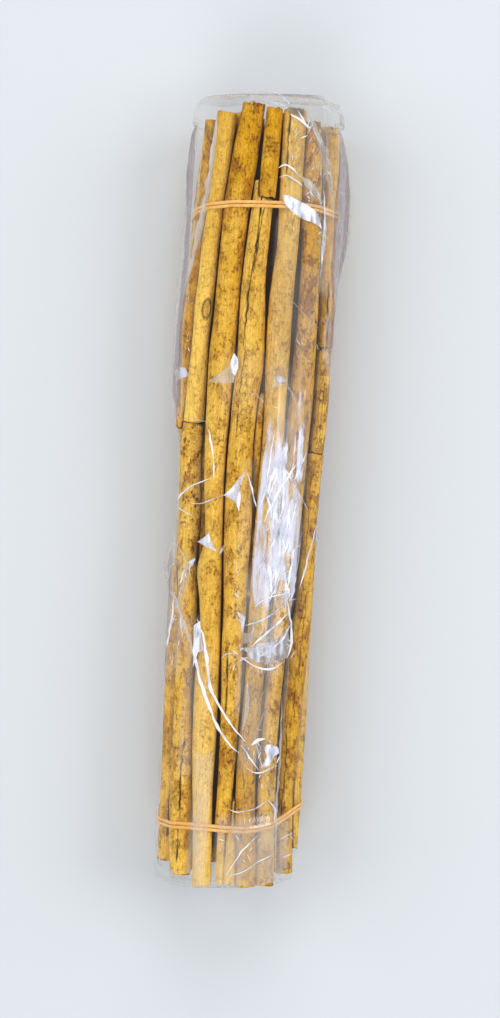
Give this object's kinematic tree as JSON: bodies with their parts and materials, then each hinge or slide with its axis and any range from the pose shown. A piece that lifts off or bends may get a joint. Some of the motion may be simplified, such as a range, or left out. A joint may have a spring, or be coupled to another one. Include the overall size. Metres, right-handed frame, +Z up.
{
  "type": "bundle of cinnamon sticks",
  "caption": "Long cinnamon quills in a round bundle, held by doubled rubber bands and wrapped tight in clear film with tucked ends, lying flat.",
  "frame": {"origin": "on the surface that the pack lies on, under the middle of its box", "axes": "+Y along the quills towards the head end, +Z up out of the side that shows, +X to the right seen from above with the head end away"},
  "size_m": [0.096, 0.4584, 0.071],
  "materials": {
    "film": "clear glossy film over golden brown quills",
    "quill": "dry rolled bark, matt",
    "rubber_band": "matt natural rubber"
  },
  "bodies": {
    "root": {"film_pack": "film", "band_head": "rubber_band", "band_foot": "rubber_band"}
  },
  "joints": []
}
